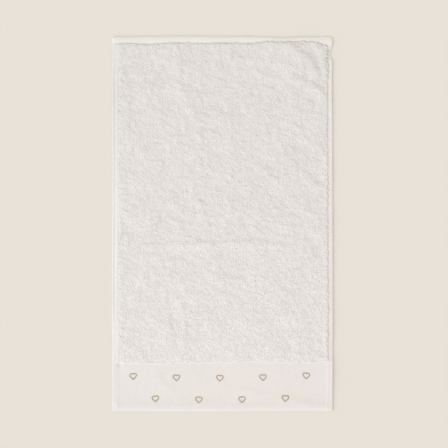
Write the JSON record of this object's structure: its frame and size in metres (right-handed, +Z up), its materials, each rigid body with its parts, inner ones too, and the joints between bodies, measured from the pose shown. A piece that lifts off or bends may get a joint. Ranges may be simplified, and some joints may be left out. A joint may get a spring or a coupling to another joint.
{
  "type": "hand towel",
  "caption": "Flat rectangular terry hand towel with looped pile, hemmed edges, a smooth woven border at one end and small embroidered heart outlines on it.",
  "frame": {"origin": "under the middle of the towel, on the surface that it lies on", "axes": "+Y along the towel, away from the end with the woven border; +Z up, through the cloth"},
  "size_m": [0.3, 0.51, 0.0073],
  "materials": {
    "white_cotton": "looped terry pile with smooth woven hems and border",
    "gold_thread": "soft satin embroidery thread"
  },
  "bodies": {
    "root": {"towel_cloth": "white_cotton", "heart_upper_1": "gold_thread", "heart_upper_2": "gold_thread", "heart_upper_3": "gold_thread", "heart_upper_4": "gold_thread", "heart_upper_5": "gold_thread", "heart_lower_1": "gold_thread", "heart_lower_2": "gold_thread", "heart_lower_3": "gold_thread", "heart_lower_4": "gold_thread"}
  },
  "joints": []
}
